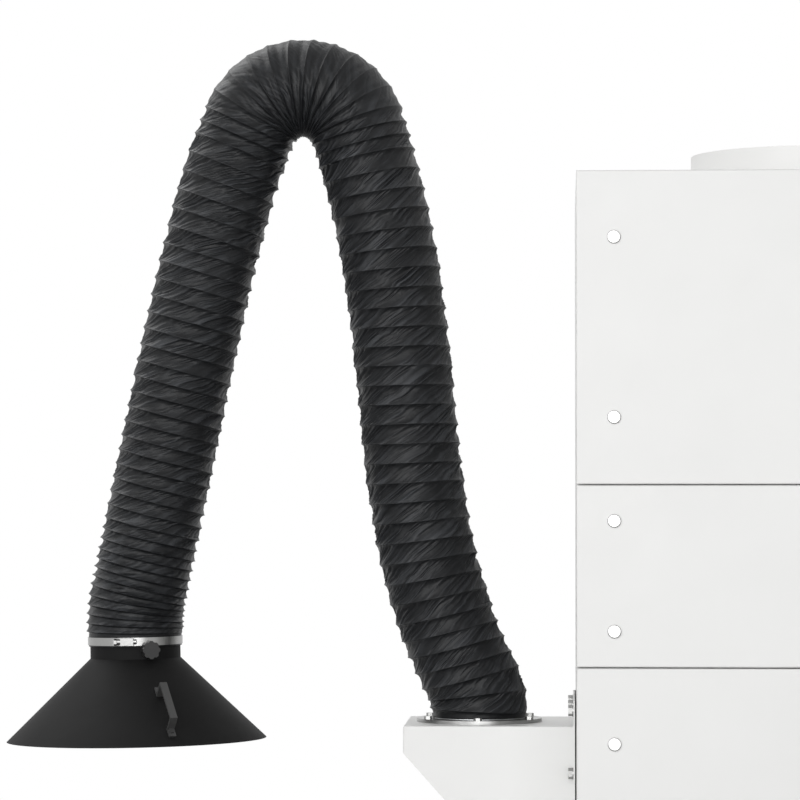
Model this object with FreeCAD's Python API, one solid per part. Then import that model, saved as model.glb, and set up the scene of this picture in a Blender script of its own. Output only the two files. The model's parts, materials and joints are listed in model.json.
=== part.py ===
import FreeCAD, Part
import math
import os

# Stationary welding fume extractor: filter cabinet with a hose arm on its left side.
# Units are mm. +X is right in the front view, +Y is towards the back, +Z is up.
# The origin is on the floor, in the middle of the four anchor holes.

V = FreeCAD.Vector
os.makedirs("parts", exist_ok=True)

# Cabinet, sized round a standard filter cell
FILTER_W = 592.0        # width and depth of the filter cell
FILTER_ROOM = 39.0      # from the cell to the outside of a side panel
FILTER_SLACK = 2.0      # from the cell to the front rails
SHEET = 2.0             # sheet thickness of panels and doors
FLANGE = 25.0           # folded edges of the panels
LEG_H = 85.0            # free height under the base frame
LEG_W = 50.0
BASE_TUBE = 40.0        # base frame channel
BASE_WALL = 3.0
FOOT_T = 6.0            # foot plate
FOOT_OUT = 48.0         # foot plate reach beyond the side panel
ANCHOR_R = 6.5          # anchor hole
DRAWER_H = 109.5        # front of the dust drawer
LOWER_DOOR_H = 468.5
MIDDLE_DOOR_H = 234.5
TOP_DOOR_H = 406.0
DOOR_GAP = 1.5          # seam between two fronts
DOOR_T = 22.0
GASKET_T = 4.0
GASKET_W = 14.0
GASKET_INSET = 6.0
CAB_W = FILTER_W + 2 * FILTER_ROOM          # width over the side panels
CAB_D = FILTER_W + FILTER_SLACK + 2 * FLANGE + DOOR_T + GASKET_T     # depth over the doors
EDGE_R = 2.0            # rounded front edges of the doors
RAIL_H = 40.0           # cross rails behind the seams
LOCK_X = 48.5           # lock centre from the left edge of the door
LOCK_INSET = {"lower": 97.5, "middle": 46.0, "top": 86.5}
LOCK_HEAD_R = 8.8
LOCK_CORE_R = 5.0
CAM_REACH = 36.0
CAM_W = 12.0
RUN_FIT = 0.05          # radial clearance of running pins
FIT_GAP = 0.4           # clearance of loose sheet parts
HINGE_R = 6.0
HINGE_PIN_R = 3.0
KNUCKLE_H = 24.0
HINGE_PLATE = 3.0
HINGE_LEAF = 34.0

# Outlet, fan and filters
OUTLET_R = 175.0        # outside of the outlet collar
OUTLET_H = 47.0
OUTLET_WALL = 2.0
OUTLET_STEP = 0.5       # the collar is this much slimmer where it passes the roof
OUTLET_LAP = 20.0       # flange of the collar under the roof
FINE_H = 150.0
PRE_H = 48.0
LEDGE_LAP = 15.0        # ledges under the pre filter
FAN_R = 177.5
EYE_R = 104.0           # throat of the inlet cone
MOTOR_R = 72.0
SHAFT_R = 9.5

# Controls on the right side
CTRL_W = 120.0
CTRL_H = 180.0
CTRL_D = 70.0
CTRL_BACK = 159.0       # box centre behind the front of the carcass
CTRL_DROP = 249.5       # box centre below the roof
PUSH_TRAVEL = 4.0
WIRE_HOLE_R = 10.0
STEM_R = 9.0
CLIP_R = 12.0
GLAND_R = 10.0
GLAND_BORE = 5.0
GLAND_IN = 95.0         # gland from the back panel
GLAND_UP = 203.0        # gland above the floor pan

# Inlet box and swivel
BOX_REACH = 234.5       # from the side panel to the far face
BOX_HALF = 110.0        # half of its depth
BOX_TOP = 617.0
BOX_FACE = 37.0         # height of the upright far face
BOX_SLOPE = 1.115       # fall of the sloping underside for each mm towards the cabinet
BOX_FLANGE = 36.0
BOX_FLANGE_SIDE = 24.0
BOLT_R = 4.0
SCREEN_T = 3.0          # spark screen behind the inlet
SCREEN_HOLE_R = 14.0
SCREEN_PITCH = 38.0
SCREEN_EDGE = 32.0
RING_REACH = 133.8      # from the side panel to the swivel axis
RING_R = 86.5
RING_T = 5.0
SPIGOT_R = 62.5         # 125 mm hose spigots
SPIGOT_WALL = 1.5
SWIVEL_GAP = 0.3

# Hose and its route: arcs and Bezier runs given by lean from upright and handle length
BORE_R = 62.6
VALLEY_R = 64.0
PEAK_R = 67.5
CUFF_R = 64.4
HOSE_STUB = 10.0        # straight start on the spigot
BASE_LEAN = 27.0
BASE_BEND = 85.0
LOWER_REACH = 169.5     # start of the elbow bend from the swivel, to the left and up
LOWER_RISE = 824.5
LOWER_LEAN = 18.0
LOWER_HANDLES = (270.0, 324.0)
ELBOW_BEND = 79.0
OUTER_LEAN = 24.0
OUTER_REACH = 473.2     # start of the wrist bend from the swivel, to the left and up
OUTER_RISE = 179.1
OUTER_END_LEAN = 12.0
OUTER_HANDLES = (143.0, 275.0)
WRIST_BEND = 242.0
HOOD_LEAN = 1.0
HOSE_ON_HOOD = 21.0     # length of hose on the hood collar
BASE_LEN = 150.0        # hose that gives at the shoulder
ELBOW_EXTRA = 45.0      # hose that gives on both sides of the elbow bend
WRIST_LEN = 165.0       # hose that gives above the hood
RIB_COUNT = {"base": 6, "lower": 24, "elbow": 16, "outer": 24, "wrist": 12}

# Arm inside the hose
LINK = 25.0             # square tube
LINK_WALL = 2.0
PLATE = 4.0
TONGUE = 7.0            # half thickness of the tongues
PIVOT_R = 5.0
DISC_R = 17.0
EYE_OUT = 19.0
SHOULDER_UP = 51.0      # shoulder pivot above the inlet box
BRACKET_UP = 8.0        # shoulder bracket's bar above the inlet box
BRACKET_T = 5.0
BRACKET_HALF = 20.0
LINK_LOW_END = 98.0     # ends of the two links beside the centre of the elbow bend
LINK_OUT_END = 92.0
LINK_END_DROP = 20.0    # and below it
FORK_R = 9.0
LUG_R = 7.0             # eyes of the stirrup
TRUNNION_R = 4.0
CROSS = 12.0            # half size of the wrist cross

# Hood
COLLAR_H = 38.0
HOOD_R = 180.0
HOOD_FALL = 113.0
HOOD_WALL = 1.5
WRIST_UP = 98.0         # wrist centre above the foot of the collar
DAMPER_UP = 13.0
DAMPER_R = 53.5
SPINDLE_R = 3.0
STIRRUP_TOP = 54.0      # half width of the stirrup over the collar
KNOB_R = 12.5
HANDLE_DOWN = (45.0, 95.0)   # feet of the hood handle below the collar
FRONT_TURN = 23.5       # handle and damper knob from the front towards the right
CLAMP_W = 11.0


def block(x0, x1, y0, y1, z0, z1):
    return Part.makeBox(x1 - x0, y1 - y0, z1 - z0, V(x0, y0, z0))


def rod(radius, start, end):
    axis = end - start
    return Part.makeCylinder(radius, axis.Length, start, axis)


def pipe(r_out, r_in, start, end):
    return rod(r_out, start, end).cut(rod(r_in, start, end))


def union(shapes):
    return shapes[0].fuse(shapes[1:]).removeSplitter()


def cut_all(shape, tools):
    return shape.cut(Part.makeCompound(tools)) if tools else shape


def prism_xz(points, y0, y1):
    corners = [V(x, y0, z) for x, z in points]
    return Part.Face(Part.makePolygon(corners + corners[:1])).extrude(V(0, y1 - y0, 0))


def revolve(points, centre):
    """Solid of revolution about Z from (radius, height) points."""
    corners = [V(centre.x + r, centre.y, centre.z + z) for r, z in points]
    face = Part.Face(Part.makePolygon(corners + corners[:1]))
    return face.revolve(centre, V(0, 0, 1), 360)


def strap(p, q, rp, rq, y0, y1):
    """Flat bar from p to q in the XZ plane with round ends of radius rp and rq."""
    d = q - p
    turn = math.atan2(d.z, d.x)
    tilt = math.acos((rp - rq) / d.Length)
    outline = []
    for centre, radius, sides in ((p, rp, (1, -1)), (q, rq, (-1, 1))):
        for side in sides:
            a = turn + side * tilt
            outline.append((centre.x + radius * math.cos(a), centre.z + radius * math.sin(a)))
    discs = [rod(r, V(c.x, y0, c.z), V(c.x, y1, c.z)) for c, r in ((p, rp), (q, rq))]
    return union([prism_xz(outline, y0, y1)] + discs)


def square_tube(p, q):
    """Square link tube from p to q in the XZ plane."""
    half = LINK / 2
    length = (q - p).Length
    outer = block(-half, half, -half, half, 0, length)
    inner = half - LINK_WALL
    shape = outer.cut(block(-inner, inner, -inner, inner, 0, length))
    turn = FreeCAD.Rotation(V(0, 0, 1), q - p)
    return shape.transformGeometry(FreeCAD.Placement(p, turn).toMatrix())


def place(shape, placement):
    moved = shape.copy()
    moved.Placement = placement.multiply(moved.Placement)
    return moved


def save(name, *shapes):
    solids = [s for shape in shapes for s in shape.Solids]
    out = solids[0] if len(solids) == 1 else Part.makeCompound(solids)
    out.exportStep("parts/%s.step" % name)


# Levels and planes shared by the nodes
X_SIDE = CAB_W / 2
X_IN = X_SIDE - SHEET
X_OPEN = X_SIDE - FLANGE
Y_FRONT = -CAB_D / 2
Y_BACK = CAB_D / 2
Y_DOOR_BACK = Y_FRONT + DOOR_T
Y_CARCASS = Y_DOOR_BACK + GASKET_T
Y_RAIL = Y_CARCASS + FLANGE
Z_FRAME = LEG_H + BASE_TUBE
Z_PAN = Z_FRAME + SHEET
Z_DRAWER = Z_FRAME + DOOR_GAP
Z_LOWER = Z_DRAWER + DRAWER_H + DOOR_GAP
Z_MIDDLE = Z_LOWER + LOWER_DOOR_H + DOOR_GAP
Z_TOP = Z_MIDDLE + MIDDLE_DOOR_H + DOOR_GAP
Z_ROOF = Z_TOP + TOP_DOOR_H
Z_UNDER_ROOF = Z_ROOF - SHEET
DOORS = {
    "lower": (Z_LOWER, LOWER_DOOR_H),
    "middle": (Z_MIDDLE, MIDDLE_DOOR_H),
    "top": (Z_TOP, TOP_DOOR_H),
}
SEAMS = [z - DOOR_GAP / 2 for z in (Z_LOWER, Z_MIDDLE, Z_TOP)]
RAILS = SEAMS + [Z_UNDER_ROOF - RAIL_H / 2]
HINGE_AXIS = V(X_SIDE + HINGE_R + 0.5, (Y_DOOR_BACK + Y_CARCASS) / 2, 0)
FILTER_Y = Y_BACK - FLANGE - FILTER_W / 2
CTRL_Y = Y_CARCASS + CTRL_BACK
CTRL_Z = Z_ROOF - CTRL_DROP
GLAND_Y = Y_BACK - GLAND_IN
GLAND_Z = Z_PAN + GLAND_UP


def inlet_bolt_points():
    """Bolt centres (y, z) round the flange of the inlet box."""
    y = BOX_HALF + BOX_FLANGE_SIDE / 2
    top = BOX_TOP + BOX_FLANGE / 2 + 4
    low = box_low() - BOX_FLANGE / 2 - 4
    rows = [low + (top - low) * i / 4 for i in range(5)]
    points = [(side * y, z) for z in rows for side in (-1, 1)]
    return points + [(0, low), (0, top)]


def inlet_drills(x0, x1):
    """Bolt holes of the inlet flange between two planes."""
    return [rod(BOLT_R + 0.5, V(x0, y, z), V(x1, y, z)) for y, z in inlet_bolt_points()]


def screen_block(grow):
    """Outline of the spark screen on the left side panel, grown for its clearance."""
    y = BOX_HALF + BOX_FLANGE_SIDE + grow
    z0 = box_low() - BOX_FLANGE - grow
    z1 = BOX_TOP + BOX_FLANGE + grow
    return block(-X_IN, -X_IN + SCREEN_T + grow, -y, y, z0, z1)


def box_low():
    return BOX_TOP - BOX_FACE - BOX_SLOPE * (BOX_REACH - 2 * SHEET)


def base_frame():
    y_end = -Y_CARCASS
    z0 = LEG_H
    inner = BASE_TUBE - BASE_WALL

    def channel(x0, x1, y0, y1, along_x):
        body = block(x0, x1, y0, y1, z0, Z_FRAME)
        if along_x:
            slot = block(x0, x1, y0 + BASE_WALL, y1 - BASE_WALL, z0, z0 + inner)
        else:
            slot = block(x0 + BASE_WALL, x1 - BASE_WALL, y0, y1, z0, z0 + inner)
        return body.cut(slot)

    pieces = []
    for side in (-1, 1):
        y = sorted((side * y_end, side * (y_end - BASE_TUBE)))
        x = sorted((side * X_SIDE, side * (X_SIDE - BASE_TUBE)))
        pieces.append(channel(-X_SIDE, X_SIDE, y[0], y[1], True))
        pieces.append(channel(x[0], x[1], BASE_TUBE - y_end, y_end - BASE_TUBE, False))
    for sx in (-1, 1):
        for sy in (-1, 1):
            x = sorted((sx * X_SIDE, sx * (X_SIDE - LEG_W)))
            y = sorted((sy * y_end, sy * (y_end - LEG_W)))
            leg = block(x[0], x[1], y[0], y[1], FOOT_T, LEG_H)
            gap = sorted((sx * (X_SIDE - PLATE), sx * (X_SIDE - LEG_W)))
            leg = leg.cut(block(gap[0], gap[1], y[0] + PLATE, y[1] - PLATE, FOOT_T, LEG_H - PLATE))
            far = sorted((sx * (X_SIDE + FOOT_OUT), sx * (X_SIDE - LEG_W)))
            foot = block(far[0], far[1], y[0], y[1], 0, FOOT_T)
            corners = [e for e in foot.Edges if abs(e.BoundBox.ZLength - FOOT_T) < 0.01
                       and abs(e.BoundBox.Center.x) > X_SIDE]
            foot = foot.makeFillet(8, corners)
            x_hole = sx * (X_SIDE + FOOT_OUT / 2)
            y_hole = (y[0] + y[1]) / 2
            foot = foot.cut(rod(ANCHOR_R, V(x_hole, y_hole, 0), V(x_hole, y_hole, FOOT_T)))
            pieces.append(union([leg, foot]))
    save("base_frame", *pieces)


def panel(side):
    """Side panel with folded edges; side is -1 for the left."""
    def strip(d0, d1, y0, y1, z0, z1):
        x = sorted((side * (X_SIDE - d0), side * (X_SIDE - d1)))
        return block(x[0], x[1], y0, y1, z0, z1)

    top = Z_UNDER_ROOF
    pieces = [strip(0, SHEET, Y_CARCASS, Y_BACK, Z_PAN, top)]
    pieces.append(strip(0, FLANGE, Y_CARCASS, Y_CARCASS + SHEET, Z_PAN, top))
    pieces.append(strip(0, FLANGE, Y_BACK - SHEET, Y_BACK, Z_PAN, top))
    pieces.append(strip(0, FLANGE, Y_CARCASS, Y_BACK, Z_PAN, Z_PAN + SHEET))
    pieces.append(strip(0, FLANGE, Y_CARCASS, Y_BACK, top - SHEET, top))
    ledge = pre_filter_level()
    reach = X_SIDE - FILTER_W / 2 + LEDGE_LAP
    pieces.append(strip(0, reach, Y_RAIL, Y_BACK - FLANGE, ledge - SHEET, ledge))
    return union(pieces)


def pre_filter_level():
    return RAILS[1] - RAIL_H / 2 - PRE_H - 30


def side_panels():
    left = panel(-1)
    y = BOX_HALF - 12
    hole = block(-X_SIDE - 1, -X_IN + 1, -y, y, box_low() + 14, BOX_TOP - 14)
    seat = screen_block(FIT_GAP)
    drills = inlet_drills(-X_SIDE - 1, -X_IN + 1)
    save("side_panel_left", cut_all(left, [hole, seat] + drills))

    right = panel(1)
    pieces = [right]
    for name, (z0, height) in DOORS.items():
        for z in hinge_levels(z0, height, LOCK_INSET[name]):
            x = X_SIDE
            y = HINGE_AXIS.y
            leaf = block(x, x + HINGE_PLATE, y, y + HINGE_LEAF, z - KNUCKLE_H, z - 0.5)
            knuckle = rod(HINGE_R, V(HINGE_AXIS.x, y, z - KNUCKLE_H), V(HINGE_AXIS.x, y, z))
            pieces.append(leaf)
            pieces.append(knuckle)
    bores = hinge_pins(HINGE_PIN_R + RUN_FIT)
    bores.append(rod(WIRE_HOLE_R, V(X_IN - 1, CTRL_Y, CTRL_Z), V(X_SIDE + 1, CTRL_Y, CTRL_Z)))
    bores.append(rod(GLAND_R + 0.2, V(X_IN - 1, GLAND_Y, GLAND_Z), V(X_SIDE + 1, GLAND_Y, GLAND_Z)))
    save("side_panel_right", cut_all(union(pieces), bores))


def hinge_levels(z0, height, inset):
    return (z0 + inset, z0 + height - inset)


def hinge_pins(radius):
    pins = []
    for name, (z0, height) in DOORS.items():
        for z in hinge_levels(z0, height, LOCK_INSET[name]):
            start = V(HINGE_AXIS.x, HINGE_AXIS.y, z - KNUCKLE_H)
            pins.append(rod(radius, start, start + V(0, 0, 2 * KNUCKLE_H - 2)))
    return pins


def shell_panels():
    save("floor_pan", block(-X_SIDE, X_SIDE, Y_CARCASS, Y_BACK, Z_FRAME, Z_PAN))
    x = X_IN - FIT_GAP
    low = Z_PAN + SHEET + FIT_GAP
    high = Z_UNDER_ROOF - SHEET - FIT_GAP
    save("back_panel", block(-x, x, Y_BACK - 2 * SHEET, Y_BACK - SHEET, low, high))
    roof = block(-X_SIDE, X_SIDE, Y_CARCASS, Y_BACK, Z_UNDER_ROOF, Z_ROOF)
    hole = rod(OUTLET_R - OUTLET_STEP + 0.3, V(0, 0, Z_UNDER_ROOF - 1), V(0, 0, Z_ROOF + 1))
    save("roof_panel", roof.cut(hole))
    rails = []
    for z in RAILS:
        low = z - RAIL_H / 2
        high = z + RAIL_H / 2
        bar = block(-X_OPEN, X_OPEN, Y_CARCASS, Y_RAIL, low, high)
        room = block(-X_OPEN, X_OPEN, Y_CARCASS + SHEET, Y_RAIL, low + SHEET, high - SHEET)
        rails.append(bar.cut(room))
    save("front_rails", *rails)

    def shelf(z):
        return block(-X_IN, X_IN, Y_CARCASS + SHEET, Y_BACK - 2 * SHEET, z, z + SHEET)

    half = FILTER_W / 2 - 26
    z = filter_shelf_level()
    window = block(-half, half, FILTER_Y - half, FILTER_Y + half, z - 1, z + SHEET + 1)
    save("filter_shelf", shelf(z).cut(window))
    z = fan_shelf_level()
    save("fan_shelf", shelf(z).cut(rod(EYE_R + 26, V(0, 0, z - 1), V(0, 0, z + SHEET + 1))))


def filter_shelf_level():
    return RAILS[1] + RAIL_H / 2


def fan_shelf_level():
    return RAILS[2] + RAIL_H / 2


def pleats(z0, z1, count):
    """Folded filter pack between two levels, standing in its frame."""
    half = FILTER_W / 2 - 16
    step = 2 * half / count
    thick = 2.2
    upper = []
    for i in range(count + 1):
        upper.append((-half + i * step, z1 if i % 2 else z0 + thick))
    lower = [(x, z - thick) for x, z in reversed(upper)]
    return prism_xz(upper + lower, FILTER_Y - half, FILTER_Y + half)


def filters():
    half = FILTER_W / 2

    def cell(z0, height, count, lip):
        outer = block(-half, half, FILTER_Y - half, FILTER_Y + half, z0, z0 + height)
        wall = half - 16
        core = block(-wall, wall, FILTER_Y - wall, FILTER_Y + wall, z0, z0 + height)
        return union([outer.cut(core), pleats(z0 + lip, z0 + height - lip, count)])

    save("fine_filter", cell(filter_shelf_level() + SHEET, FINE_H, 28, 10))
    save("pre_filter", cell(pre_filter_level(), PRE_H, 20, 5))
    holes = []
    for i in range(5):
        for k in range(7):
            hy = (i - 2) * SCREEN_PITCH
            hz = box_low() + SCREEN_EDGE + (BOX_TOP - box_low() - 2 * SCREEN_EDGE) * k / 6
            holes.append(rod(SCREEN_HOLE_R, V(-X_IN - 1, hy, hz), V(-X_IN + SCREEN_T + 1, hy, hz)))
    holes += inlet_drills(-X_IN - 1, -X_IN + SCREEN_T + 1)
    save("spark_screen", cut_all(screen_block(0), holes))


def fan():
    z = fan_shelf_level() + SHEET
    cone_points = [(EYE_R + 44, 0), (EYE_R + 44, 2), (EYE_R + 22, 2), (EYE_R + 6, 18), (EYE_R, 40)]
    cone_points += [(EYE_R - 2, 40), (EYE_R + 4, 17), (EYE_R + 20, 0)]
    save("inlet_cone", revolve(cone_points, V(0, 0, z)))

    eye = z + 32
    plate = z + 142
    shroud = [(EYE_R + 4, 0), (EYE_R + 6, 0), (EYE_R + 8, 14), (FAN_R, 34), (FAN_R, 36), (EYE_R + 6, 16)]
    pieces = [revolve(shroud, V(0, 0, eye))]
    pieces.append(rod(FAN_R, V(0, 0, plate), V(0, 0, plate + 3)))
    pieces.append(rod(28, V(0, 0, plate - 14), V(0, 0, plate + 18)))
    end = plate - eye + 1
    bowl_points = [(0, 15), (EYE_R + 6, 15), (FAN_R - 1, 35), (FAN_R - 1, end), (0, end)]
    bowl = revolve(bowl_points, V(0, 0, eye))
    for i in range(9):
        blade = block(EYE_R + 2, FAN_R + 20, -1.5, 1.5, eye, plate + 2)
        blade.rotate(V(EYE_R + 2, 0, 0), V(0, 0, 1), -38)
        blade.rotate(V(0, 0, 0), V(0, 0, 1), 40 * i)
        pieces.append(blade.common(bowl))
    stand = plate + 24
    pieces.append(rod(SHAFT_R, V(0, 0, plate), V(0, 0, stand + 36)))
    save("impeller", union(pieces))

    x = FAN_R + 20
    top = block(-x - 6, x + 6, -70, 70, stand, stand + 6)
    bridge = [top]
    for s in (-1, 1):
        leg = sorted((s * x, s * (x + 6)))
        foot = sorted((s * x, s * (x + 36)))
        bridge.append(block(leg[0], leg[1], -70, 70, z, stand + 1))
        bridge.append(block(foot[0], foot[1], -70, 70, z, z + 6))
    bridge = union(bridge)
    save("motor_stand", bridge.cut(rod(40, V(0, 0, stand - 1), V(0, 0, stand + 7))))

    m = stand + 6
    body = [rod(MOTOR_R + 8, V(0, 0, m), V(0, 0, m + 10))]
    body.append(rod(MOTOR_R - 8, V(0, 0, m), V(0, 0, m + 150)))
    for i in range(20):
        fin = block(MOTOR_R - 12, MOTOR_R, -1.5, 1.5, m + 8, m + 128)
        fin.rotate(V(0, 0, 0), V(0, 0, 1), 18 * i)
        body.append(fin)
    body.append(rod(MOTOR_R, V(0, 0, m + 126), V(0, 0, m + 168)))
    body.append(block(MOTOR_R - 14, MOTOR_R + 24, -34, 34, m + 30, m + 100))
    motor = union(body).cut(rod(SHAFT_R + RUN_FIT, V(0, 0, m - 1), V(0, 0, m + 34)))
    save("motor", motor)

    r = OUTLET_R
    seat = r - OUTLET_STEP
    under = -SHEET - OUTLET_WALL
    rim = r + OUTLET_LAP
    collar = [(r, OUTLET_H), (r, 0), (seat, 0), (seat, -SHEET), (rim, -SHEET), (rim, under)]
    collar += [(r - OUTLET_WALL, under), (r - OUTLET_WALL, OUTLET_H)]
    save("outlet_collar", revolve(collar, V(0, 0, Z_ROOF)))


def front_pan(z0, height):
    """Folded door pan, open at the back, with rounded front edges."""
    outer = block(-X_SIDE, X_SIDE, Y_FRONT, Y_DOOR_BACK, z0, z0 + height)
    soft = [e for e in outer.Edges if e.BoundBox.YMax < Y_FRONT + 0.01]
    outer = outer.makeFillet(EDGE_R, soft)
    x = X_SIDE - SHEET
    low = z0 + SHEET
    high = z0 + height - SHEET
    room = block(-x, x, Y_FRONT + SHEET, Y_DOOR_BACK - SHEET, low, high)
    way = block(-X_OPEN, X_OPEN, Y_FRONT + SHEET, Y_DOOR_BACK + 1, z0 + FLANGE, z0 + height - FLANGE)
    return outer.cut(room).cut(way)


def doors():
    lock_x = -X_SIDE + LOCK_X
    for name, (z0, height) in DOORS.items():
        pieces = [front_pan(z0, height)]
        inset = LOCK_INSET[name]
        for z in hinge_levels(z0, height, inset):
            x = X_SIDE
            leaf = block(x, x + HINGE_PLATE, Y_FRONT + 5, Y_DOOR_BACK, z + 0.5, z + KNUCKLE_H)
            knuckle = rod(HINGE_R, V(HINGE_AXIS.x, HINGE_AXIS.y, z + 0.3),
                          V(HINGE_AXIS.x, HINGE_AXIS.y, z + KNUCKLE_H))
            pieces.append(leaf)
            pieces.append(knuckle)
        bores = hinge_pins(HINGE_PIN_R + RUN_FIT)
        for z in hinge_levels(z0, height, inset):
            start = V(lock_x, Y_FRONT - 1, z)
            bores.append(rod(LOCK_CORE_R + RUN_FIT, start, start + V(0, SHEET + 2, 0)))
        save(name + "_door", cut_all(union(pieces), bores))

        x = X_SIDE - GASKET_INSET
        low = z0 + GASKET_INSET
        high = z0 + height - GASKET_INSET
        seal = block(-x, x, Y_DOOR_BACK, Y_CARCASS, low, high)
        w = GASKET_W
        middle = block(-x + w, x - w, Y_DOOR_BACK, Y_CARCASS, low + w, high - w)
        save(name + "_door_gasket", seal.cut(middle))

        for end, sign, z in zip(("lower", "upper"), (1, -1), hinge_levels(z0, height, inset)):
            save("%s_door_%s_lock" % (name, end), quarter_turn(lock_x, z, sign))


def quarter_turn(x, z, sign):
    """Coin-slot lock with its cam standing upright (unlocked), up for +1 and down for -1."""
    y_cam = Y_CARCASS + SHEET + 2
    head = rod(LOCK_HEAD_R, V(x, Y_FRONT - 3.2, z), V(x, Y_FRONT - 0.2, z))
    rim = [e for e in head.Edges if e.BoundBox.YMax < Y_FRONT - 3.1]
    head = head.makeFillet(1.4, rim)
    coin = LOCK_HEAD_R - 2.5
    head = head.cut(block(x - 1.2, x + 1.2, Y_FRONT - 4, Y_FRONT - 2, z - coin, z + coin))
    core = rod(LOCK_CORE_R, V(x, Y_FRONT - 1, z), V(x, y_cam + 3, z))
    collar = rod(LOCK_HEAD_R, V(x, Y_FRONT + SHEET + 0.2, z), V(x, Y_FRONT + SHEET + 6, z))
    half = CAM_W / 2
    cam = strap(V(x, 0, z), V(x, 0, z + sign * (CAM_REACH - half)), half + 1, half, y_cam, y_cam + 3)
    return union([head, core, collar, cam])


def drawer():
    front = front_pan(Z_DRAWER, DRAWER_H)
    x = X_OPEN - 10
    floor = Z_PAN + 4.8
    top = RAILS[0] - RAIL_H / 2 - 3
    depth = Y_BACK - 45
    tray = block(-x, x, Y_DOOR_BACK - SHEET, depth, floor, top)
    tray = tray.cut(block(-x + SHEET, x - SHEET, Y_DOOR_BACK, depth - SHEET, floor + SHEET, top))
    mid = Z_DRAWER + DRAWER_H / 2
    drills = [rod(3.2, V(s * 64, Y_FRONT - 1, mid), V(s * 64, Y_FRONT + SHEET + 1, mid)) for s in (-1, 1)]
    save("dust_drawer", cut_all(union([front, tray]), drills))

    grip_y = Y_FRONT - 34
    bar = block(-70, 70, grip_y, grip_y + 10, mid - 8, mid + 8)
    feet = [block(s * 64 - 6, s * 64 + 6, grip_y, Y_FRONT, mid - 8, mid + 8) for s in (-1, 1)]
    bow = union([bar] + feet)
    rounded = [e for e in bow.Edges if e.BoundBox.YMax < grip_y + 0.01]
    bow = bow.makeFillet(4, rounded)
    pegs = [rod(3, V(s * 64, Y_FRONT - 2, mid), V(s * 64, Y_FRONT + 8, mid)) for s in (-1, 1)]
    save("drawer_handle", union([bow] + pegs))

    runners = []
    for s in (-1, 1):
        xs = sorted((s * (x + 1), s * (x + 4)))
        up = block(xs[0], xs[1], Y_CARCASS + 6, depth, Z_PAN + SHEET, Z_PAN + 40)
        xs = sorted((s * (x - 24), s * (x + 4)))
        flat = block(xs[0], xs[1], Y_CARCASS + 6, depth, Z_PAN + SHEET, floor - 0.3)
        xs = sorted((s * (x - 24), s * (X_OPEN - 1)))
        foot = block(xs[0], xs[1], Y_CARCASS + 6, depth, Z_PAN, floor - 0.3)
        runners.append(union([up, flat, foot]))
    save("drawer_runners", *runners)


def controls():
    x0 = X_SIDE
    x1 = X_SIDE + CTRL_D
    y0 = CTRL_Y - CTRL_W / 2
    z0 = CTRL_Z - CTRL_H / 2
    body = block(x0, x1, y0, y0 + CTRL_W, z0, z0 + CTRL_H)
    soft = [e for e in body.Edges if e.BoundBox.XMin > x0 - 0.01 and e.BoundBox.XLength > 1]
    body = body.makeFillet(8, soft)
    wall = 3
    y1 = y0 + CTRL_W
    z1 = z0 + CTRL_H
    body = body.cut(block(x0, x1 - wall, y0 + wall, y1 - wall, z0 + wall, z1 - wall))
    places = {"start_button": (CTRL_Y - 26, CTRL_Z - 40), "stop_button": (CTRL_Y + 26, CTRL_Z - 40)}
    places["switch_knob"] = (CTRL_Y, CTRL_Z + 38)
    bores = [rod(STEM_R + RUN_FIT, V(x1 - 4, y, z), V(x1 + 1, y, z)) for y, z in places.values()]
    save("control_box", cut_all(body, bores))

    for name in ("start_button", "stop_button"):
        y, z = places[name]
        wide = 12.0 if name == "start_button" else 17.0
        cap = rod(wide, V(x1 + PUSH_TRAVEL + 0.5, y, z), V(x1 + PUSH_TRAVEL + 8, y, z))
        cap = cap.makeFillet(2, [e for e in cap.Edges if e.BoundBox.XMin > x1 + PUSH_TRAVEL + 7.9])
        stem = rod(STEM_R, V(x1 - 12, y, z), V(x1 + PUSH_TRAVEL + 1, y, z))
        clip = rod(CLIP_R, V(x1 - 12, y, z), V(x1 - wall - 0.4, y, z))
        save(name, union([cap, stem, clip]))
    y, z = places["switch_knob"]
    dial = rod(21, V(x1 + 0.4, y, z), V(x1 + 8, y, z))
    wing = block(x1 + 7, x1 + 22, y - 5, y + 5, z - 18, z + 20)
    wing = wing.makeFillet(3, [e for e in wing.Edges if e.BoundBox.XMin > x1 + 21.9])
    stem = rod(STEM_R, V(x1 - 12, y, z), V(x1 + 1, y, z))
    clip = rod(CLIP_R, V(x1 - 12, y, z), V(x1 - wall - 0.4, y, z))
    save("switch_knob", union([dial, wing, stem, clip]))

    centre = V(X_SIDE, GLAND_Y, GLAND_Z)
    body = [rod(GLAND_R, centre - V(16, 0, 0), centre + V(2, 0, 0))]
    body.append(hexagon(13, 8, centre, V(1, 0, 0)))
    body.append(rod(11.5, centre, centre + V(20, 0, 0)))
    body.append(hexagon(13, 5, centre - V(SHEET, 0, 0), V(-1, 0, 0)))
    gland = union(body).cut(rod(GLAND_BORE, centre - V(17, 0, 0), centre + V(21, 0, 0)))
    save("cable_gland", gland)
    save("hinge_pins", *hinge_pins(HINGE_PIN_R))


def hexagon(radius, height, base, axis):
    """Hexagonal prism from base along axis; radius is over the corners."""
    angles = [i * math.pi / 3 for i in range(6)]
    corners = [V(radius * math.cos(a), radius * math.sin(a), 0) for a in angles]
    nut = Part.Face(Part.makePolygon(corners + corners[:1])).extrude(V(0, 0, height))
    return place(nut, FreeCAD.Placement(base, FreeCAD.Rotation(V(0, 0, 1), axis)))


SWIVEL = V(-X_SIDE - RING_REACH, 0, BOX_TOP)


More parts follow.
